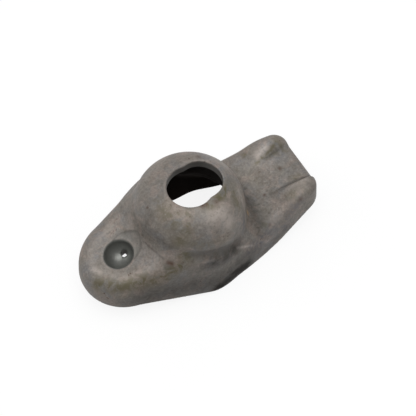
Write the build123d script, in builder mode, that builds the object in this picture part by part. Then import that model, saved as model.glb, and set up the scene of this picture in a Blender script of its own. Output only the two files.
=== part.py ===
from build123d import *
from math import asin, atan2, cos, degrees, hypot, radians, sin
import os

# Rocker arm pressed from one sheet of steel, lying dome up on the lowest stretch of its rim.
# The origin is the pivot centre, the centre of the dome. +X runs to the valve end, +Z is up.
# All lengths are in millimetres.

# Plan of the tray
pivot_to_cup = 22.7
pivot_to_end_arc = 21.4
cup_end_radius = 12.8
flank_half_width = 17.5
valve_end_reach = 38.6
valve_end_half_width = 11.0
valve_corner_radius = 7.2
wall_draft = 2.4

# Sheet and its bends
sheet_thickness = 3.2
shoulder_radius = 4.2
dome_radius = 15.4
crown_height = 11.3
crown_bend_radius = 9.8

# Depths below the pivot centre
rest_depth = 19.9
cup_rim_depth = 14.2
valve_rim_depth = 12.1
cup_pad_depth = 5.1
saddle_depth = 9.6
valve_pad_depth = 7.5
rail_depth = 4.5
nose_depth = 11.0

# Lowest stretch of the rim, on which the part lies
rest_to_cup_side = 2.0
rest_to_valve_side = 17.0

# Stud slot through the crown
slot_length = 16.4
slot_width = 12.5
slot_shift = 2.1

# Pushrod cup and its oil hole
cup_radius = 4.0
cup_wall = 2.4
cup_lip_radius = 0.7
oil_hole_diameter = 1.9
oil_hole_offset = 2.0

# Valve pad between its two rails, whose inner sides lean back
pad_width = 9.2
rail_crest_spacing = 15.0

# One overrun serves every cut and every sketch that is trimmed later
overrun = 6.0

# Shape of the tray's top along the part. Places are shares of the reach on that side, and depths
# are shares of the pad or saddle that they lead to.
cup_side_shares = ((-1.9, 1.74), (-1.35, 1.3), (-1.0, 0.98), (-0.7, 0.6), (-0.45, 0.1), (-0.24, -0.05))
flank_shares = ((0.08, 0.28), (0.26, 0.74), (0.45, 1.0))
rail_shares = ((0.82, 1.1), (0.92, 1.05), (1.05, 1.25), (1.25, 1.9))
pad_shares = ((0.63, 1.17), (0.8, 1.0), (0.93, 1.08), (1.1, 1.5), (1.3, 2.3))

# Each wall of the tray runs tangent to the flank's arc, so its angle follows from the widths
cup_taper = asin((flank_half_width - cup_end_radius) / pivot_to_end_arc)
valve_taper = asin(flank_half_width / hypot(valve_end_reach, valve_end_half_width)) - atan2(
    valve_end_half_width, valve_end_reach
)


def side_cut(outline):
    """Extrude a profile drawn on the XZ plane across the whole width, as a private part."""
    with BuildPart(mode=Mode.PRIVATE) as block:
        with BuildSketch(Plane.XZ.offset(-2 * flank_half_width)):
            add(outline)
        extrude(amount=4 * flank_half_width)
    return block.part


def plan_outline(inset):
    """Boat shape of the tray: an arc round the cup, a wide flank and a square valve end."""
    flank = flank_half_width - inset
    end_arc = cup_end_radius - inset
    cup_x = -pivot_to_end_arc - end_arc
    valve_x = valve_end_reach - inset
    spread = sin(cup_taper + valve_taper)
    flank_corner = (
        flank * (cos(cup_taper) - cos(valve_taper)) / spread,
        flank * (sin(cup_taper) + sin(valve_taper)) / spread,
    )
    cup_corner = (cup_x, (flank + cup_x * sin(cup_taper)) / cos(cup_taper))
    valve_corner = (valve_x, (flank - valve_x * sin(valve_taper)) / cos(valve_taper))
    nearly_round_share = 0.97
    with BuildSketch(mode=Mode.PRIVATE) as plan:
        with BuildLine():
            FilletPolyline(
                (valve_x, 0),
                valve_corner,
                flank_corner,
                cup_corner,
                (cup_x, 0),
                radius=[valve_corner_radius - inset, flank, end_arc * nearly_round_share],
            )
            mirror(about=Plane.XZ)
        make_face()
    return plan.sketch


def top_points(with_rails):
    """Points of the tray's top along the part, over the rails or over the valve pad."""
    points = [(x * pivot_to_cup, -z * cup_pad_depth) for x, z in cup_side_shares]
    points += [(x * valve_end_reach, -z * saddle_depth) for x, z in flank_shares]
    last_shares = rail_shares if with_rails else pad_shares
    last_depth = rail_depth if with_rails else valve_pad_depth
    points += [(x * valve_end_reach, -z * last_depth) for x, z in last_shares]
    return points


def below_curve(points, drop):
    """Face on the XZ plane under a smooth curve through the points, lowered by drop."""
    floor = -2 * rest_depth
    with BuildSketch(mode=Mode.PRIVATE) as face:
        with BuildLine():
            curve = Spline(*[(x, z - drop) for x, z in points])
            Polyline(curve @ 1, ((curve @ 1).X, floor), ((curve @ 0).X, floor), curve @ 0)
        make_face()
    return face.sketch


def pressed_form(inset, with_rails, below_rim):
    """Solid inside one face of the sheet: the tray with rounded shoulders and the dome on it."""
    with BuildPart(mode=Mode.PRIVATE) as form:
        with BuildSketch(Plane.XY.offset(-rest_depth)):
            add(plan_outline(inset))
        extrude(amount=rest_depth + overrun, taper=wall_draft)
        if below_rim:
            with BuildSketch(Plane.XY.offset(-rest_depth)):
                add(plan_outline(inset))
            extrude(amount=-overrun)
        add(side_cut(below_curve(top_points(with_rails), inset)), mode=Mode.INTERSECT)
        tray_top = form.faces().filter_by(GeomType.EXTRUSION)
        fillet(tray_top.edges(), shoulder_radius - inset)
        with BuildSketch(Plane.XZ):
            bend_centre = (dome_radius - crown_bend_radius, crown_height - crown_bend_radius)
            foot = -saddle_depth - inset
            with BuildLine():
                bend = CenterArc(bend_centre, crown_bend_radius - inset, 0, 90)
                Polyline(bend @ 1, (0, (bend @ 1).Y), (0, foot), ((bend @ 0).X, foot), bend @ 0)
            make_face()
        revolve(axis=Axis.Z)
    return form.part


# Inner face of the sheet, dented where the cup's wall stands into the tray
with BuildPart() as inner_form:
    add(pressed_form(sheet_thickness, False, True))
    with Locations((-pivot_to_cup, 0, -cup_pad_depth)):
        Sphere(cup_radius + cup_wall, mode=Mode.SUBTRACT)

# Channel of the valve pad, a rounded nose at its end
with BuildSketch() as channel_profile:
    with BuildLine():
        pad_line = Spline(
            *[(x * valve_end_reach, -z * saddle_depth) for x, z in flank_shares[2:]],
            *[(x * valve_end_reach, -z * valve_pad_depth) for x, z in pad_shares[:3]],
        )
        nose_arc = TangentArc(pad_line @ 1, (valve_end_reach, -nose_depth), tangent=pad_line % 1)
        Polyline(
            nose_arc @ 1,
            (valve_end_reach + overrun, -nose_depth),
            (valve_end_reach + overrun, overrun),
            ((pad_line @ 0).X, overrun),
            pad_line @ 0,
        )
    make_face()
with BuildPart() as pad_channel:
    with BuildSketch(Plane.YZ):
        with BuildLine():
            Polyline(
                (0, -rest_depth),
                (pad_width / 2, -rest_depth),
                (pad_width / 2, -valve_pad_depth),
                (rail_crest_spacing / 2, -rail_depth),
                (rail_crest_spacing / 2, overrun),
                (0, overrun),
            )
            mirror(about=Plane.YZ)
        make_face()
    extrude(amount=2 * valve_end_reach)
    add(side_cut(channel_profile.sketch), mode=Mode.INTERSECT)

# Everything under the rim: level at the cup end, sloping down, flat where the part lies, and up
# again to the valve end
with BuildSketch() as rim_profile:
    with BuildLine():
        Polyline(
            (-2 * pivot_to_cup, -cup_rim_depth),
            (-pivot_to_cup, -cup_rim_depth),
            (-rest_to_cup_side, -rest_depth),
            (rest_to_valve_side, -rest_depth),
            (valve_end_reach, -valve_rim_depth),
            (2 * valve_end_reach, -valve_rim_depth),
            (2 * valve_end_reach, -2 * rest_depth),
            (-2 * pivot_to_cup, -2 * rest_depth),
            close=True,
        )
    make_face()

with BuildPart() as rocker_arm:
    # Sheet between the outer and the inner face
    add(pressed_form(0, True, False))
    add(pad_channel.part, mode=Mode.SUBTRACT)
    add(inner_form.part, mode=Mode.SUBTRACT)
    add(side_cut(rim_profile.sketch), mode=Mode.SUBTRACT)
    # Stud slot through the crown
    with BuildSketch(Plane.XY):
        with Locations((slot_shift, 0)):
            SlotOverall(slot_length, slot_width)
    extrude(amount=crown_height + overrun, mode=Mode.SUBTRACT)
    # Pushrod cup with a rounded lip, and the oil hole through its wall on the dome's side
    with Locations((-pivot_to_cup, 0, -cup_pad_depth)):
        Sphere(cup_radius, mode=Mode.SUBTRACT)
    cup_face = rocker_arm.faces().filter_by(GeomType.SPHERE).sort_by(Axis.Z)[-1]
    fillet(cup_face.edges().sort_by(Axis.Z)[-1], cup_lip_radius)
    with BuildSketch(Plane.XY.offset(-cup_pad_depth)):
        with Locations((oil_hole_offset - pivot_to_cup, 0)):
            Circle(oil_hole_diameter / 2)
    extrude(amount=-rest_depth, mode=Mode.SUBTRACT)

rocker_arm.part.label = "rocker_arm"
os.makedirs("parts", exist_ok=True)
export_step(rocker_arm.part, "parts/rocker_arm.step")
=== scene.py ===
import math
import bpy
import numpy as np
from mathutils import Matrix, Vector


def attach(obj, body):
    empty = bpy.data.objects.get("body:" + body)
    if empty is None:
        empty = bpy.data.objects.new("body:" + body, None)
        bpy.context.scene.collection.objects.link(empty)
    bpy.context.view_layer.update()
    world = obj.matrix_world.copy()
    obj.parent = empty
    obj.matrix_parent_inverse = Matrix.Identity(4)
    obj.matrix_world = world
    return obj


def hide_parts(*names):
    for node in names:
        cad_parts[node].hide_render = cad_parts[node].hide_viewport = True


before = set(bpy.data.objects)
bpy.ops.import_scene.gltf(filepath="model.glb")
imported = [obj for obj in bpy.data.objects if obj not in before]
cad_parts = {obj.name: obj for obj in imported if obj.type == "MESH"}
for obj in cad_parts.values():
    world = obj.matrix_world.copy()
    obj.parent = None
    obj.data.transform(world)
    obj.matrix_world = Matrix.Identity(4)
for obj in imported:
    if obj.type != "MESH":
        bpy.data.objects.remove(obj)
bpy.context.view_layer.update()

# Rocker arm
# One stamping of 3 mm sheet steel, drawn in a press: a boat-shaped tray with a slotted bun-shaped
# dome over the pivot ball, a pressed pushrod cup, and two rails beside the valve pad. It is made
# as a solid form, because the wall, the bends and the rolled edges run into each other all round.

# Sizes in millimetres from the pivot, with +X to the valve end and +Z up
SHEET = 3.2
CUP_END, CUP_END_RADIUS = -21.36, 12.8
FLANK_RADIUS = 17.48
VALVE_END, VALVE_END_HALF_WIDTH, VALVE_CORNER = 37.7, 11.05, 5.0
WALL_DRAFT = math.tan(math.radians(2.4))
REST_HEIGHT = -19.9
DOME_RADIUS, CROWN_HEIGHT, CROWN_BEND = 15.4, 11.25, 9.8
CUP_CENTRE, CUP_RADIUS, CUP_WALL = np.array((-22.7, 0.0, -5.1)), 4.05, 2.4

# Round cuts and marks, each by the place of its centre and its radius. The slot is two circles run
# together, with a waist between them, and the coined step is what a tool left beside the cup.
SLOT_CUP_SIDE, SLOT_VALVE_SIDE, SLOT_WAIST = (0.4, 0.0, 6.45), (4.05, 0.45, 6.05), 0.4
OIL_HOLE = (-20.4, 1.0, 0.85)
COINED, COINED_DEPTH = (-20.0, 0.5, 4.2), 0.13

# Radii of edges and inner bends
CUP_LIP, CUP_BACK_BEND = 0.7, 1.0
RIM_EDGE, INNER_EDGE, SLOT_EDGE, OIL_HOLE_EDGE = 0.4, 0.3, 0.35, 0.15
COINED_EDGE, COINED_BEND = 0.08, 0.05
SHARPEST_SHOULDER = 0.6

# What the draw did unevenly. Past the saddle one rail takes only a share of the other's width to
# rise, and both crests are rounded off. On the valve side the dome's wall leans out by so much for
# each millimetre below a height, down to a depth. A groove runs along the dome's foot but for the
# valve side. The valve end stands to one side.
RAILS_FROM, STEEP_RAIL_SHARE, CREST_FALL, CREST_WIDTH = 14, 0.45, 0.10, 0.7
OUTER_LEAN, INNER_LEAN, LEAN_TOP, LEAN_DEPTH, LEAN_RUN = 0.1, 0.24, 2, 8, (3, 11)
GROOVE_DEPTH, GROOVE_WIDTH, GROOVE_FADE = 0.35, 0.8, (4, 9)
SET_OVER, SET_OVER_RUN = 0.25, (12, 36)

# Stations along the arm. First the heights over the middle, over the sides and their rails, and
# along the trimmed rim. Then the radius of the shoulder between top and wall and of the bend at
# the dome's foot, and how far out each rail's foot and crest lie.
PAD_LINE = np.array((
    (-45, -9.0), (-36, -7.5), (-30, -6.5), (-22.7, -5.0), (-18.5, -3.8), (-16, -2.6), (-13, -0.2),
    (-10, 1.2), (-7, 1.9), (-5, 1.7), (-2.7, 1.1), (0, 0.4), (2.5, -0.9), (4.3, -2.3),
    (6.4, -4.4), (8.5, -6.5), (10.5, -8.2), (13, -9.4), (17, -9.7), (20, -9.2), (25, -7.9),
    (28, -7.2), (31, -6.9), (34, -6.8), (37, -6.9), (45, -7.8),
))
RAIL_LINE = np.array((
    (-45, -8.5), (-36, -7.0), (-30, -6.0), (-22.7, -4.55), (-18.5, -2.85), (-16, -1.6), (-13, 0.2),
    (-10, 1.2), (-7, 1.9), (-5, 1.7), (-2.7, 1.1), (0, 0.4), (2.5, -0.9), (4.3, -2.3),
    (6.4, -4.4), (8.5, -6.5), (10.5, -8.2), (13, -9.3), (17, -9.5), (20, -8.9), (24.5, -7.6),
    (26.5, -6.5), (28.5, -5.6), (30.5, -5.1), (33.5, -5.0), (36, -5.2), (39, -5.9), (45, -7.2),
))
RIM_LINE = np.array((
    (-45, -14.2), (-24, -14.2), (-1, -19.9), (2, -19.9), (6, -19.5), (15, -19.6), (21.5, -18.6),
    (38, -12.1), (45, -9.3),
))
SHOULDER_LINE = np.array((
    (-45, 4.8), (-12, 4.6), (-4, 4.0), (6, 4.0), (16, 3.8), (24, 3.3), (29, 2.6), (45, 1.8),
))
FOOT_LINE = np.array((
    (-45, 4.0), (-13, 4.0), (-10, 2.4), (-6, 1.2), (-2, 0.9), (3, 0.9), (9, 3.0), (14, 4.5),
    (45, 4.5),
))
RAIL_FOOT = np.array(((-45, 2.0), (14, 2.0), (24, 4.4), (34, 5.7), (45, 6.4)))
RAIL_CREST = np.array(((-45, 11.0), (14, 11.0), (24, 7.3), (34, 7.9), (45, 8.2)))


def soft_line(line, softness):
    """Straight runs between the stations, each height replaced by the mean of its neighbours under
    a bell curve of the given softness in millimetres."""
    spacing, bell_reach = 0.1, 3
    along = np.arange(line[0, 0], line[-1, 0] + spacing, spacing)
    heights = np.interp(along, line[:, 0], line[:, 1])
    reach = np.arange(-bell_reach * softness, bell_reach * softness + spacing, spacing)
    bell = np.exp(-(reach / softness) ** 2 / 2)
    padded = np.pad(heights, len(reach) // 2, mode="edge")
    return along, np.convolve(padded, bell / bell.sum(), mode="valid")[:len(along)]


pad_line = soft_line(PAD_LINE, 0.9)
pad_slope = np.gradient(pad_line[1], pad_line[0])
rail_line = soft_line(RAIL_LINE, 0.7)
rim_line = soft_line(RIM_LINE, 1.4)
shoulder_line = soft_line(SHOULDER_LINE, 1.5)
foot_line = soft_line(FOOT_LINE, 1.5)
rail_foot = soft_line(RAIL_FOOT, 2.0)
rail_crest = soft_line(RAIL_CREST, 2.0)


def step(value, low, high):
    """0 below low, 1 above high, and 3t^2 - 2t^3 between."""
    share = np.clip((value - low) / (high - low), 0, 1)
    return share * share * (3 - 2 * share)


def common(a, b, radius):
    """Distance to what two forms share, the convex edge between them rolled to the radius."""
    outside = np.hypot(np.maximum(a + radius, 0), np.maximum(b + radius, 0))
    return np.minimum(np.maximum(a, b), -radius) + outside


def joined(a, b, radius):
    """Distance to two forms together, the concave corner between them filled to the radius."""
    return -common(-a, -b, radius)


def plan_distance(x, side):
    """Distance in plan to the boat outline: an arc round the cup, a wide arc at the flank and a
    rounded corner at the valve end, joined by the lines that touch each pair of arcs."""
    cup_lean = math.asin((FLANK_RADIUS - CUP_END_RADIUS) / -CUP_END)
    valve_lean = (math.asin(FLANK_RADIUS / math.hypot(VALVE_END, VALVE_END_HALF_WIDTH))
                  - math.atan2(VALVE_END_HALF_WIDTH, VALVE_END))
    corner_x = VALVE_END - VALVE_CORNER
    corner_side = (FLANK_RADIUS - VALVE_CORNER - corner_x * math.sin(valve_lean)) / math.cos(
        valve_lean)
    cup_wall = side * math.cos(cup_lean) - x * math.sin(cup_lean) - FLANK_RADIUS
    valve_wall = side * math.cos(valve_lean) + x * math.sin(valve_lean) - FLANK_RADIUS
    along_cup_wall = x * math.cos(cup_lean) + side * math.sin(cup_lean)
    along_valve_wall = x * math.cos(valve_lean) - side * math.sin(valve_lean)
    corner_along = corner_x * math.cos(valve_lean) - corner_side * math.sin(valve_lean)
    distance = np.maximum(np.maximum(cup_wall, valve_wall), x - VALVE_END)
    round_cup = np.hypot(x - CUP_END, side) - CUP_END_RADIUS
    distance = np.where(along_cup_wall < CUP_END * math.cos(cup_lean), round_cup, distance)
    at_flank = (along_cup_wall > 0) & (along_valve_wall < 0)
    distance = np.where(at_flank, np.hypot(x, side) - FLANK_RADIUS, distance)
    at_corner = (side > corner_side) & (along_valve_wall > corner_along)
    round_corner = np.hypot(x - corner_x, side - corner_side) - VALVE_CORNER
    return np.where(at_corner, round_corner, distance)


def drawn_form(x, y, z, inset):
    """Distance to the solid under one face of the sheet: the tray, which is what the leaning wall
    and the top have in common, joined to the dome, with a thin groove along the dome's foot. The
    dome's wall leans out on the valve side, more inside than outside, where the draw thinned the
    sheet. An inset above zero gives the inner face, with a plumb wall and no rails. The rail on
    the -Y side is the steeper one."""
    outer = inset == 0
    side = np.abs(y)
    wall = plan_distance(x, side) + WALL_DRAFT * ((z if outer else 0.0) - REST_HEIGHT) + inset
    pad = np.interp(x, *pad_line)
    foot, crest = np.interp(x, *rail_foot), np.interp(x, *rail_crest)
    past_saddle = x > RAILS_FROM
    crest = np.where((y < 0) & past_saddle, foot + STEEP_RAIL_SHARE * (crest - foot), crest)
    ramp = np.clip((side - foot) / (crest - foot), 0, 1)
    rounded_crest = ramp - CREST_FALL * np.exp(-((side - crest) / CREST_WIDTH) ** 2)
    ramp = np.where(past_saddle, rounded_crest, step(ramp, 0, 1))
    top = pad + outer * ramp * (np.interp(x, *rail_line) - pad)
    level = (z - top) / np.sqrt(1 + np.interp(x, pad_line[0], pad_slope) ** 2) + inset
    shoulder = np.maximum(np.interp(x, *shoulder_line) - inset, SHARPEST_SHOULDER)
    tray = common(wall, level, shoulder)
    across = np.maximum(np.hypot(x, side) - (DOME_RADIUS - CROWN_BEND), 0)
    above_bend = np.maximum(z - (CROWN_HEIGHT - CROWN_BEND), 0)
    lean = OUTER_LEAN if outer else INNER_LEAN
    leaning = lean * np.clip(LEAN_TOP - z, 0, LEAN_DEPTH) * step(x, *LEAN_RUN)
    dome = np.hypot(across, above_bend) - CROWN_BEND + inset - leaning
    from_foot = (dome ** 2 + tray ** 2) / (2 * GROOVE_WIDTH ** 2)
    groove = np.exp(-from_foot) * (1 - step(x, *GROOVE_FADE))
    skin = joined(tray, dome, np.interp(x, *foot_line) + inset)
    return skin + outer * GROOVE_DEPTH * groove


def circle(x, y, centre_x, centre_y, radius):
    """Distance in plan to a circle: from its centre, less its radius."""
    return np.hypot(x - centre_x, y - centre_y) - radius


def rocker_form(points):
    """Distance to the stamping: inside the outer face, outside the inner one, above the rim, and
    clear of the slot, the cup, the oil hole and the coined step beside the cup. The valve end
    stands a little to one side."""
    x, y, z = points
    set_over = y - SET_OVER * step(x, *SET_OVER_RUN)
    outer = drawn_form(x, set_over, z, 0.0)
    from_cup = np.sqrt((x - CUP_CENTRE[0]) ** 2 + y ** 2 + (z - CUP_CENTRE[2]) ** 2)
    coined = common(circle(x, y, *COINED), np.abs(outer) - COINED_DEPTH, COINED_BEND)
    outer = common(outer, -coined, COINED_EDGE)
    outer = common(outer, CUP_RADIUS - from_cup, CUP_LIP)
    inner = drawn_form(x, set_over, z, SHEET)
    hollow = common(inner, CUP_RADIUS + CUP_WALL - from_cup, CUP_BACK_BEND)
    sheet = common(outer, -hollow, INNER_EDGE)
    sheet = common(sheet, np.interp(x, *rim_line) - z, RIM_EDGE)
    slot = joined(circle(x, y, *SLOT_CUP_SIDE), circle(x, y, *SLOT_VALVE_SIDE), SLOT_WAIST)
    sheet = common(sheet, -np.maximum(slot, -z), SLOT_EDGE)
    oil_hole = np.maximum(circle(x, y, *OIL_HOLE), z - CUP_CENTRE[2])
    return common(sheet, -oil_hole, OIL_HOLE_EDGE)


def surface_of(form, low, high, pitch):
    """Closed mesh of the form's zero surface: one vertex in each grid cell that the surface passes
    through, at the mean of its edge crossings, and one face across each grid edge that it cuts.
    The vertices are drawn towards their neighbours by falling shares, and each time moved along
    the slope of the form until it reads zero."""
    softenings, moves = (0.5, 0.5, 0.3, 0.0), 3
    probe, gentlest_slope, longest_move = 0.02, 0.05, 0.2
    axes = [np.arange(a, b + pitch, pitch) for a, b in zip(low, high)]
    grid = form(np.meshgrid(*axes, indexing="ij"))
    count = np.array(grid.shape)
    total = np.zeros(tuple(count - 1) + (3,))
    hits = np.zeros(tuple(count - 1))
    crossings = []
    for axis in range(3):
        start = [slice(None)] * 3
        end = [slice(None)] * 3
        start[axis] = slice(None, -1)
        end[axis] = slice(1, None)
        a, b = grid[tuple(start)], grid[tuple(end)]
        cut = (a < 0) != (b < 0)
        place = np.argwhere(cut)
        share = a[cut] / (a[cut] - b[cut])
        point = place.astype(float)
        point[:, axis] += share
        around = [other for other in range(3) if other != axis]
        inner = np.all((place[:, around] > 0) & (place[:, around] < count[around] - 1), axis=1)
        place, point, rising = place[inner], point[inner], a[cut][inner] < 0
        ring = []
        for first, second in ((-1, -1), (0, -1), (0, 0), (-1, 0)):
            cell = place.copy()
            cell[:, around[0]] += first
            cell[:, around[1]] += second
            np.add.at(total, tuple(cell.T), point)
            np.add.at(hits, tuple(cell.T), 1)
            ring.append(cell)
        crossings.append((ring, rising if axis != 1 else ~rising))
    used = hits > 0
    cell_number = np.full(used.shape, -1)
    cell_number[used] = np.arange(used.sum())
    points = (total[used] / hits[used][:, None]) * pitch + np.array(low)
    faces = []
    for ring, rising in crossings:
        quad = np.stack([cell_number[tuple(cell.T)] for cell in ring], axis=1)
        quad[~rising] = quad[~rising][:, ::-1]
        faces.append(quad)
    faces = np.concatenate(faces)
    edges = np.concatenate([faces[:, [k, (k + 1) % 4]] for k in range(4)])
    for softening in softenings:
        if softening:
            near = np.zeros_like(points)
            number = np.zeros(len(points))
            np.add.at(near, edges[:, 0], points[edges[:, 1]])
            np.add.at(number, edges[:, 0], 1)
            points = points + softening * (near / number[:, None] - points)
        for _ in range(moves):
            value = form(points.T)
            slope = np.stack([form((points + shift).T) - form((points - shift).T)
                              for shift in np.eye(3) * probe], axis=1) / (2 * probe)
            size = np.maximum((slope ** 2).sum(axis=1), gentlest_slope)
            move = np.clip(value / size, -longest_move, longest_move)
            points = points - move[:, None] * slope
    return points, faces


# The grid leaves about a millimetre round the stamping
GRID_LOW, GRID_HIGH, GRID_PITCH = (-35.0, -17.8, -20.7), (39.2, 17.8, 11.9), 0.36
points, faces = surface_of(rocker_form, GRID_LOW, GRID_HIGH, GRID_PITCH)
mesh = bpy.data.meshes.new("rocker_arm_stamping")
mesh.from_pydata((points / 1000).tolist(), [], faces.tolist())
mesh.validate()
mesh.shade_smooth()


def bend(points, reach):
    """How sharply the form turns at each point, per millimetre: the form's values one reach away,
    to both sides along each of the three axes, added up, less six times its own, over the reach
    squared. An edge is above zero and an inner corner below."""
    around = sum(rocker_form((points + shift).T) + rocker_form((points - shift).T)
                 for shift in np.eye(3) * reach)
    return (around - 6 * rocker_form(points.T)) / reach ** 2


def strokes(points, *marks):
    """How strongly each point is marked. A mark follows places from one to the next with a radius
    and an amount, falls off as amount times exp(-(distance / radius)^2), and the strongest
    counts."""
    strength = np.zeros(len(points))
    for places, radius, amount in marks:
        places = np.array(places, dtype=float)
        for start, end in zip(places, places[1:] if len(places) > 1 else places):
            run = end - start
            share = np.clip((points - start) @ run / max(run @ run, 1e-9), 0, 1)
            distance = np.linalg.norm(points - start - share[:, None] * run, axis=1)
            strength = np.maximum(strength, amount * np.exp(-(distance / radius) ** 2))
    return strength


def painted(mesh, name, values):
    """Store one number for each vertex under a name that the material reads."""
    layer = mesh.attributes.new(name, "FLOAT", "POINT")
    layer.data.foreach_set("value", np.asarray(values, dtype=np.float32))


# Edges rubbed bright, painted shade in inner corners and beside the coined step, the burnished
# cup, the sheet's cut faces and painted shade on the tray's inner face come from the form itself:
# from how sharply it turns, and from how many millimetres a point lies from the cup's centre, from
# the coined step's edge and from both faces of the sheet.
TURN_REACH, EDGE_TURN, CORNER_TURN = 0.9, 0.5, 0.9
LIP_INSIDE, LIP_OUTSIDE, STEP_OUTSIDE, STEP_BOTTOM = 4.15, 4.7, 7.5, -8
STEP_SHARPNESS, STEP_SHADE_WIDTH, STEP_SHADE, STEP_SHINE = 0.1, 0.3, 0.85, 0.3
CUT_FACE, INSIDE_DEPTH, NEAR_INNER_FACE = (0.3, 0.8), (1.0, 1.6), (-0.55, -0.25)
turned = bend(points, TURN_REACH)
from_cup = np.linalg.norm(points - CUP_CENTRE, axis=1)
in_cup = step(-from_cup, -LIP_OUTSIDE, -LIP_INSIDE)
from_step = circle(*points.T[:2], *COINED)
on_step = step(-from_step, -STEP_SHARPNESS, STEP_SHARPNESS) * (points[:, 2] > STEP_BOTTOM)
beside_cup = (from_cup > LIP_OUTSIDE) & (from_cup < STEP_OUTSIDE)
step_shade = STEP_SHADE * np.exp(-(from_step / STEP_SHADE_WIDTH) ** 2) * beside_cup
depth = -drawn_form(*points.T, 0.0)
inner_face = common(drawn_form(*points.T, SHEET), CUP_RADIUS + CUP_WALL - from_cup, CUP_BACK_BEND)
# Painted shade: the tray's inner face, seen through the slot, is made near black
under = step(depth, *INSIDE_DEPTH) * step(-np.abs(inner_face), *NEAR_INNER_FACE)
# Painted shade: darker in inner corners and in a thin line beside the coined step's edge
corner_shade = np.maximum(np.clip(-turned / CORNER_TURN, 0, 1), step_shade)
painted(mesh, "worn", np.clip(turned / EDGE_TURN, 0, 1) * (1 - in_cup))
painted(mesh, "corner_shade", corner_shade * (1 - in_cup))
painted(mesh, "under", under)
painted(mesh, "cut", step(depth, *CUT_FACE) * (1 - in_cup))
painted(mesh, "cup", np.maximum(in_cup, STEP_SHINE * on_step * (1 - in_cup)))

# Marks laid one by one, each by the places it follows, its radius and its amount: oil stains,
# rust, pale marks that are partly rubbed skin and partly painted highlights, steel blued by heat,
# a painted tan glint, and patches of painted shade.
painted(mesh, "oil", strokes(
    points,
    (((-6.0, -9.3, 9.6),), 0.75, 1.0),
    (((-7.2, -9.6, 9.0),), 0.5, 0.6),
    (((-31.5, -3.7, -8.0), (-27.0, -8.3, -6.3), (-21.9, -10.4, -5.1), (-15.4, -13.4, -4.6),
      (-12.0, -13.8, -1.6)), 2.1, 0.85),
    (((-15.4, -13.4, -4.6), (-12.0, -13.8, -1.6), (-9.1, -13.0, 1.4)), 1.8, 0.9),
    (((-9.7, -10.7, 5.6), (-7.4, -10.3, 8.3)), 2.0, 0.65),
    (((-9.1, -2.1, 10.5), (-8.5, -6.0, 9.6)), 2.6, 0.6),
    (((24.7, 9.8, -7.5),), 0.9, 0.7),
    (((-4.5, -6.5, 11.0), (-7.5, -5.0, 10.4)), 2.0, 0.5),
    (((-6.0, -12.6, 5.0), (-2.0, -13.8, 4.0), (2.5, -14.2, 2.5)), 1.8, 0.45),
    (((17.9, -11.5, -9.5),), 1.0, 1.0),
    (((33.7, -4.2, -6.7), (31.5, -4.6, -6.8)), 0.9, 0.5),
    (((28.4, -9.2, -5.7),), 1.4, 0.7),
    (((33.6, 8.0, -5.3), (31.1, 6.6, -6.0), (28.5, 6.2, -6.5), (25.9, 5.9, -7.4)), 0.6, 0.8),
    (((32.1, 5.6, -6.8), (28.7, 5.6, -6.9)), 0.5, 0.6),
    (((35.0, 5.0, -6.6), (34.2, 8.6, -5.6)), 1.1, 0.5),
    (((9.6, -9.8, 6.9), (10.2, -4.2, 9.6)), 1.8, 0.6),
    (((1.7, -7.4, 11.0), (4.6, -7.2, 10.9), (8.0, -5.6, 10.4)), 1.7, 0.95),
))
painted(mesh, "rust", strokes(
    points,
    (((-0.1, -6.9, 11.2), (1.0, -7.1, 11.1)), 0.6, 1.0),
    (((4.0, -7.6, 10.9),), 0.9, 0.6),
    (((36.6, -6.9, -6.8), (34.5, -6.3, -6.4)), 0.7, 0.5),
    (((29.7, -11.0, -6.3),), 0.6, 0.6),
    (((-13.8, -11.6, -0.4), (-13.0, -12.2, -0.6)), 0.7, 0.9),
    (((7.7, 7.5, 9.8),), 0.7, 0.6),
    (((-12.1, 1.6, 8.6),), 0.4, 1.0),
    (((30.4, 0.7, -6.9),), 0.5, 1.0),
    (((22.6, -3.5, -8.5),), 0.4, 1.0),
    (((19.1, -11.8, -9.5),), 0.5, 0.7),
))
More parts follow.
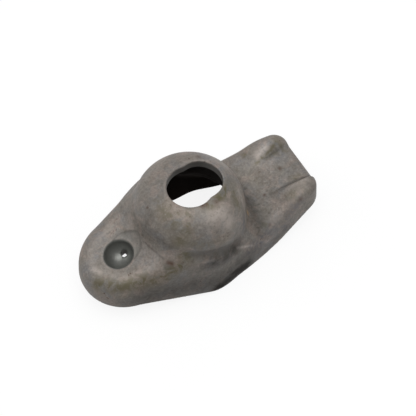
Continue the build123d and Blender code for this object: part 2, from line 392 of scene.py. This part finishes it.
# Pale marks: some are rubbed skin, and most are painted highlights, along the shoulders round the
# cup end, on the rails' facets and crests, down the dome's right edge, on the dome's near side and
# on the pad beside the cup
painted(mesh, "rubbed_and_highlights", strokes(
    points,
    (((-20.3, 8.3, -3.8), (-26.5, 6.8, -5.7), (-28.5, 5.4, -6.3), (-30.6, 0.6, -6.9),
      (-27.2, -4.5, -5.9), (-24.0, -7.3, -5.0), (-20.4, -8.5, -3.8),
      (-17.7, -9.8, -2.7)), 1.3, 0.25),
    (((-30.6, 0.6, -6.9), (-29.5, -1.8, -6.4)), 0.9, 0.62),
    (((-27.2, -4.5, -5.9),), 0.8, 0.5),
    (((-24.0, -7.3, -5.0),), 0.8, 0.62),
    (((1.1, -11.2, 9.4), (3.5, -9.9, 9.9), (4.2, -12.4, 7.0)), 2.4, 0.85),
    (((-1.2, -13.1, 7.6),), 1.6, 0.31),
    (((29.9, 7.5, -5.6), (27.2, 7.2, -6.4)), 1.5, 0.59),
    (((25.7, 6.0, -7.4), (29.2, 3.7, -7.1)), 1.5, 0.25),
    (((30.0, -6.5, -5.9),), 0.6, 0.62),
    (((34.0, -7.0, -5.6), (31.5, -6.8, -5.6)), 0.8, 0.31),
    (((27.9, 1.3, -7.3),), 0.4, 0.62),
    (((20.9, -12.0, -9.3),), 0.5, 0.43),
    (((12.9, 2.0, 7.8), (11.0, 7.0, 8.0)), 1.6, 0.31),
    (((-6.4, 9.5, 9.3), (-2.0, 11.5, 9.0)), 2.2, 0.22),
    (((19.5, -12.1, -9.5), (23.9, -12.0, -8.7)), 0.4, 0.31),
    (((33.0, -7.9, -5.2), (34.9, -9.7, -6.5)), 0.5, 0.37),
    (((-16.3, -3.3, -0.1), (-14.7, -10.0, 0.1)), 0.25, 0.31),
    (((6.2, -15.1, -5.6), (8.0, -15.0, -7.1), (9.9, -14.8, -8.9),
      (11.7, -14.6, -10.3)), 0.35, 1.0),
    (((11.7, -14.6, -10.3), (14.5, -14.5, -11.6), (17.2, -14.4, -13.4)), 0.4, 0.5),
    (((-4.6, -16.0, -2.1), (-2.8, -16.3, -2.3), (-1.1, -16.7, -3.6),
      (0.4, -16.8, -6.1)), 0.5, 0.45),
    (((12.1, -6.1, 7.2), (11.6, -8.5, 5.8), (11.9, -9.6, 2.8), (12.0, -10.1, -1.0),
      (11.5, -10.9, -2.8)), 0.7, 0.4),
    (((-27.2, -4.5, -5.9), (-26.4, -6.2, -5.6), (-25.1, -6.7, -5.2),
      (-22.3, -7.9, -4.5)), 0.6, 0.4),
    (((8.8, 5.1, 10.1), (11.0, 5.6, 8.6), (11.7, 3.1, 8.7)), 0.7, 0.35),
    (((-16.2, 5.4, -1.5), (-16.7, -3.5, -2.1), (-16.3, -6.5, -1.7),
      (-15.3, -9.0, -1.2)), 2.2, 0.3),
))
painted(mesh, "blued", strokes(
    points,
    (((9.4, -12.2, -2.6), (10.7, -11.0, 0.5)), 1.5, 0.8),
    (((10.6, -15.3, -11.2), (15.4, -14.3, -11.5), (18.4, -13.3, -10.7),
      (24.6, -13.0, -13.5)), 2.0, 0.9),
    (((29.6, -11.3, -6.5), (24.6, -13.0, -9.5)), 1.6, 0.6),
))
# A painted glint: a small tan highlight at the dome's edge on the valve side
painted(mesh, "tan_glint", strokes(points, (((14.5, -6.4, -4.9), (14.7, -7.0, -6.3)), 0.5, 1.3)))
# Painted shade: darker patches low on the near wall, in the valley at the dome's foot, on the
# dome's left side, on the pad towards the valve end and along two creases
painted(mesh, "shade_patches", strokes(
    points,
    (((-2.0, -16.3, -4.0), (2.6, -16.3, -5.0), (6.2, -14.6, -4.8)), 3.0, 0.75),
    (((5.0, -14.9, -3.8), (7.5, -13.6, -4.6)), 1.2, 0.55),
    (((-22.0, -13.4, -11.0), (-12.0, -15.4, -12.5), (-4.0, -17.1, -14.0),
      (5.0, -17.0, -14.0)), 5.2, 0.58),
    (((-0.5, -17.4, -18.4), (1.5, -17.5, -17.2), (5.0, -17.0, -16.6),
      (8.5, -16.3, -16.8)), 3.9, 1.15),
    (((-1.0, -17.3, -15.5), (4.0, -16.9, -14.0), (9.0, -15.8, -14.5)), 5.5, 0.7),
    (((9.5, -16.2, -17.8), (17.0, -15.2, -17.0), (24.0, -13.8, -14.0)), 2.2, 0.4),
    (((17.5, 4.5, -7.5), (17.8, -3.0, -8.0), (17.0, -9.5, -9.3), (15.4, -12.0, -9.8)), 2.4, 0.6),
    (((-12.6, -0.7, 8.3), (-14.5, -1.2, 5.3), (-13.8, -5.2, 5.1), (-12.5, -9.0, 3.5)), 2.0, 0.35),
    (((30.0, -1.0, -6.9), (35.0, 0.5, -6.9)), 4.5, 0.16),
    (((-12.0, 0.3, 8.9), (-8.9, 2.8, 10.5), (-4.3, 5.0, 11.2), (0.5, 7.7, 11.0)), 3.5, 0.2),
    (((34.8, -9.9, -6.0), (33.8, -8.6, -5.4)), 1.2, 0.4),
    (((-15.9, -3.0, -0.3), (-14.3, -9.8, 0.0)), 0.35, 0.5),
))

stamping = bpy.data.objects.new("rocker_arm_stamping", mesh)
bpy.context.scene.collection.objects.link(stamping)
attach(stamping, "root")
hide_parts("rocker_arm")


def linear(code):
    """Linear red, green and blue of an sRGB hex value: each share over 12.92 where it is small,
    and elsewhere the power 2.4 of what 0.055 more of it is over 1.055."""
    shares = np.array([int(code[k:k + 2], 16) / 255 for k in (1, 3, 5)])
    low = shares / 12.92
    high = ((shares + 0.055) / 1.055) ** 2.4
    return (*np.where(shares <= 0.04045, low, high), 1.0)


def node(tree, kind, inputs=(), **settings):
    """Add a node with its settings. Each of its inputs, by name or number, gets a value or a link
    from another node's output."""
    new = tree.nodes.new(kind)
    for name, value in settings.items():
        setattr(new, name, value)
    for socket, value in dict(inputs).items():
        if isinstance(value, bpy.types.NodeSocket):
            tree.links.new(value, new.inputs[socket])
        else:
            new.inputs[socket].default_value = value
    return new


# Low-carbon sheet steel, pressed, tumbled and then run in hot oil for years: a matt warm grey with
# a soft, broad shine, cloudy with varnish, finely mottled, and flecked with rust.
steel = bpy.data.materials.new("oiled pressed steel")
steel.use_nodes = True
tree = steel.node_tree
tree.nodes.clear()
in_millimetres = node(tree, "ShaderNodeMapping", {
    "Vector": node(tree, "ShaderNodeTexCoord").outputs["Object"],
    "Scale": (1000, 1000, 1000),
}).outputs["Vector"]

# Patterns of noise, each by about how many millimetres its blotches measure, the noise values that
# are spread over 0 to 1, and its detail, roughness and distortion. Real tumbling marks are about
# 0.1 mm, too fine for the render, so the grain is drawn at 0.4 mm.
patterns = {}
for name, size, low, high, detail, roughness, distortion in (
    ("clouds", 7.0, 0.35, 0.68, 3, 0.5, 0.0),
    ("warm patches", 4.2, 0.47, 0.59, 4, 0.6, 0.8),
    ("blotches", 2.4, 0.44, 0.62, 5, 0.65, 0.6),
    ("mottle", 0.9, 0.3, 0.7, 3, 0.65, 0.0),
    ("speckle", 0.55, 0.32, 0.68, 2, 0.5, 0.0),
    ("grain", 0.4, 0.25, 0.75, 2, 0.5, 0.0),
    ("flecks", 0.75, 0.62, 0.74, 2, 0.5, 0.0),
    ("fleck groups", 4.0, 0.5, 0.66, 2, 0.5, 0.0),
):
    noise = node(tree, "ShaderNodeTexNoise", {
        "Vector": in_millimetres, "Scale": 1 / size, "Detail": detail, "Roughness": roughness,
        "Distortion": distortion,
    })
    patterns[name] = node(tree, "ShaderNodeMapRange", {
        "Value": noise.outputs["Fac"], "From Min": low, "From Max": high,
    }).outputs["Result"]
patterns["rust flecks"] = node(
    tree, "ShaderNodeMath", {0: patterns["flecks"], 1: patterns["fleck groups"]},
    operation="MULTIPLY", use_clamp=True).outputs[0]

# Coats from the steel's own skin outwards, each by its colour, the layer on the mesh that it keeps
# to, the pattern that breaks it up and that pattern's strength, and the share that shows where the
# pattern is nil: dull varnish, brown dirt, dry skin, dark pores, worn edges, rubbed skin with
# painted highlights, oil, blued steel, rust, rust flecks, painted shade in corners, patches of
# painted shade, a painted tan glint, the burnished cup, the cut face and painted shade, near
# black, on the tray's inner face.
colour = node(tree, "ShaderNodeMixRGB", {
    "Fac": patterns["clouds"], "Color1": linear("#6e6f71"), "Color2": linear("#7b7468"),
}).outputs["Color"]
shares = {}
for code, where, pattern, strength, least in (
    ("#918278", None, "warm patches", 0.85, 0.0),
    ("#5a5448", None, "blotches", 0.8, 0.0),
    ("#9b948e", None, "mottle", 0.55, 0.0),
    ("#47423e", None, "speckle", 0.36, 0.0),
    ("#978e88", "worn", "blotches", 0.55, 0.0),
    # rubbed skin and painted highlights
    ("#aaa19a", "rubbed_and_highlights", "mottle", 1.0, 0.45),
    ("#565038", "oil", "blotches", 1.0, 0.45),
    ("#66666b", "blued", "blotches", 1.0, 0.2),
    ("#4b3428", "rust", "mottle", 1.0, 0.5),
    ("#4d3a2c", None, "rust flecks", 0.75, 0.0),
    # painted shade in inner corners and beside the coined step
    ("#3b3833", "corner_shade", None, 0.0, 0.55),
    # patches of painted shade
    ("#272420", "shade_patches", "blotches", 0.16, 0.84),
    # painted tan glint
    ("#a98d64", "tan_glint", None, 0.0, 1.0),
    ("#747571", "cup", None, 0.0, 1.0),
    ("#38332b", "cut", None, 0.0, 0.85),
    # painted shade, near black, on the tray's inner face
    ("#1c1510", "under", None, 0.0, 1.0),
):
    share = least
    if pattern:
        share = node(tree, "ShaderNodeMath", {0: patterns[pattern], 1: strength, 2: least},
                     operation="MULTIPLY_ADD", use_clamp=True).outputs[0]
    if where:
        on_mesh = node(tree, "ShaderNodeAttribute", attribute_name=where).outputs["Fac"]
        share = node(tree, "ShaderNodeMath", {0: on_mesh, 1: share},
                     operation="MULTIPLY", use_clamp=True).outputs[0]
        shares[where] = share
    colour = node(tree, "ShaderNodeMixRGB", {
        "Fac": share, "Color1": colour, "Color2": linear(code),
    }).outputs["Color"]

# Oil and rubbed metal shine more than the dry, mottled skin between them, and the cup is burnished
# by the pushrod's ball; the painted highlights share the rubbed shine. Rust flecks and the painted
# shade on the tray's inner face are rougher. The varnish hides most of the steel, which is bare
# where it is rubbed or burnished, and not metal where shade is painted inside the tray and on the
# wall. The skin stands proud between the tumbling marks, and the rust flecks are shallow pits.
skin_roughness = node(tree, "ShaderNodeMapRange", {
    "Value": patterns["mottle"], "To Min": 0.5, "To Max": 0.6,
}).outputs["Result"]
built_up = {}
for name, value, changes in (
    ("roughness", skin_roughness, (
        (shares["rubbed_and_highlights"], -0.12), (shares["oil"], -0.1), (shares["cup"], -0.14),
        (patterns["rust flecks"], 0.25), (shares["under"], 0.4))),
    ("bare metal", 0.25, (
        (shares["rubbed_and_highlights"], 0.5), (shares["cup"], 0.4), (shares["under"], -1.0),
        (shares["shade_patches"], -1.0))),
    ("height", 0.0, (
        (patterns["grain"], 0.4), (patterns["mottle"], 0.5), (patterns["rust flecks"], -0.5))),
):
    for share, change in changes:
        value = node(tree, "ShaderNodeMath", {0: share, 1: change, 2: value},
                     operation="MULTIPLY_ADD", use_clamp=True).outputs[0]
    built_up[name] = value

# Painted shade inside the tray and on the wall is matt and gives back almost no light
matt_share = node(tree, "ShaderNodeMath", {0: shares["under"], 1: shares["shade_patches"]},
                  operation="MAXIMUM").outputs[0]
gloss = node(tree, "ShaderNodeMapRange", {
    "Value": matt_share, "To Min": 0.5, "To Max": 0.05,
}).outputs["Result"]
RELIEF = 0.06 / 1000
skin = node(tree, "ShaderNodeBump", {
    "Height": built_up["height"], "Strength": 0.5, "Distance": RELIEF,
})
shader = node(tree, "ShaderNodeBsdfPrincipled", {
    "Base Color": colour, "Roughness": built_up["roughness"], "Metallic": built_up["bare metal"],
    "Specular IOR Level": gloss, "Normal": skin.outputs["Normal"],
})
node(tree, "ShaderNodeOutputMaterial", {"Surface": shader.outputs["BSDF"]})
mesh.materials.append(steel)

# Table the arm lies on
# A plain white sheet, so the arm stands on white as in a catalogue picture. It glows where it is
# seen straight on, in a reflection or through glass, and the arm's shadow still falls on it.
TABLE_REACH = 4.0
TABLE_HEIGHT = REST_HEIGHT / 1000
floor_mesh = bpy.data.meshes.new("table")
floor_mesh.from_pydata(
    [(x, y, TABLE_HEIGHT) for x, y in (
        (-TABLE_REACH, -TABLE_REACH), (TABLE_REACH, -TABLE_REACH),
        (TABLE_REACH, TABLE_REACH), (-TABLE_REACH, TABLE_REACH))],
    [], [(0, 1, 2, 3)])
table = bpy.data.objects.new("table", floor_mesh)
bpy.context.scene.collection.objects.link(table)

# Uncoated white paper, matt all over: it shows as plain white, with a soft grey shadow round the
# rim. Most of its white is glow, which only the camera, reflections and glass see, so it throws
# little light back under the arm.
paper = bpy.data.materials.new("white paper")
paper.use_nodes = True
tree = paper.node_tree
tree.nodes.clear()
rays = node(tree, "ShaderNodeLightPath").outputs
seen = node(tree, "ShaderNodeMath", {0: rays["Is Camera Ray"], 1: rays["Is Glossy Ray"]},
            operation="MAXIMUM")
seen = node(tree, "ShaderNodeMath", {0: seen.outputs[0], 1: rays["Is Transmission Ray"]},
            operation="MAXIMUM")
matt = node(tree, "ShaderNodeBsdfDiffuse", {"Color": linear("#616161")})
glow = node(tree, "ShaderNodeEmission", {
    "Strength": seen.outputs[0], "Color": linear("#f1f1f1"),
})
sheet = node(tree, "ShaderNodeAddShader", {0: matt.outputs["BSDF"], 1: glow.outputs["Emission"]})
node(tree, "ShaderNodeOutputMaterial", {"Surface": sheet.outputs["Shader"]})
floor_mesh.materials.append(paper)

# Soft boxes and room
# Four large lamps round the table and a plain pale room, all at a level at which a colour
# renders about as it is written. The room is white where the camera sees it.
LAMP_DISTANCE = 0.6
ROOM_LIGHT = 0.28


def lamp(name, azimuth, elevation, size, power):
    """Square lamp at the given bearing and height angle, aimed at the pivot."""
    light = bpy.data.lights.new(name, "AREA")
    light.size = size
    light.energy = power
    body = bpy.data.objects.new(name, light)
    flat = math.cos(math.radians(elevation))
    direction = Vector((math.cos(math.radians(azimuth)) * flat,
                        math.sin(math.radians(azimuth)) * flat,
                        math.sin(math.radians(elevation))))
    body.location = direction * LAMP_DISTANCE
    body.rotation_euler = direction.to_track_quat("Z", "Y").to_euler()
    bpy.context.scene.collection.objects.link(body)


lamp("overhead softbox", -122, 85, 0.5, 2.4)
lamp("left softbox", 148, 35, 0.4, 0.95)
lamp("right softbox", -32, 35, 0.4, 0.55)
lamp("rear softbox", 58, 35, 0.4, 0.55)
world = bpy.data.worlds.new("studio")
world.use_nodes = True
tree = world.node_tree
tree.nodes.clear()
strength = node(tree, "ShaderNodeMapRange", {
    "Value": node(tree, "ShaderNodeLightPath").outputs["Is Camera Ray"],
    "To Min": ROOM_LIGHT, "To Max": 1.0,
})
room = node(tree, "ShaderNodeBackground", {
    "Strength": strength.outputs["Result"], "Color": linear("#ffffff"),
})
node(tree, "ShaderNodeOutputWorld", {"Surface": room.outputs["Background"]})
bpy.context.scene.world = world
bpy.context.scene.view_settings.view_transform = "Standard"

# Camera
# It looks down on the arm at 60 degrees, a little off its side, from half a metre away. Distance
# and shift are in millimetres, and the scale is the frame's pixels for each of them at the pivot.
TURN, RISE, ROLL = (math.radians(angle) for angle in (32.150, 60.414, 0.448))
DISTANCE, SCALE, SHIFT_X, SHIFT_Y = 560.188, 3.636, 5.210, -0.179
FRAME_WIDTH, SENSOR_WIDTH = 416, 36.0
right = np.array((math.cos(TURN), -math.sin(TURN), 0.0))
ahead = np.array((math.sin(TURN), math.cos(TURN), 0.0))
up = np.array((0.0, 0.0, 1.0))
view = math.cos(RISE) * ahead - math.sin(RISE) * up
top = math.sin(RISE) * ahead + math.cos(RISE) * up
right, top = (math.cos(ROLL) * right + math.sin(ROLL) * top,
              math.cos(ROLL) * top - math.sin(ROLL) * right)
camera_data = bpy.data.cameras.new("camera")
camera_data.sensor_width = SENSOR_WIDTH
camera_data.lens = SCALE * DISTANCE / FRAME_WIDTH * SENSOR_WIDTH
camera_data.clip_end = 20
camera = bpy.data.objects.new("camera", camera_data)
stand = Matrix((right, top, -view)).transposed().to_4x4()
stand.translation = Vector((-DISTANCE * view + SHIFT_X * right + SHIFT_Y * top) / 1000)
camera.matrix_world = stand
bpy.context.scene.collection.objects.link(camera)
bpy.context.scene.camera = camera
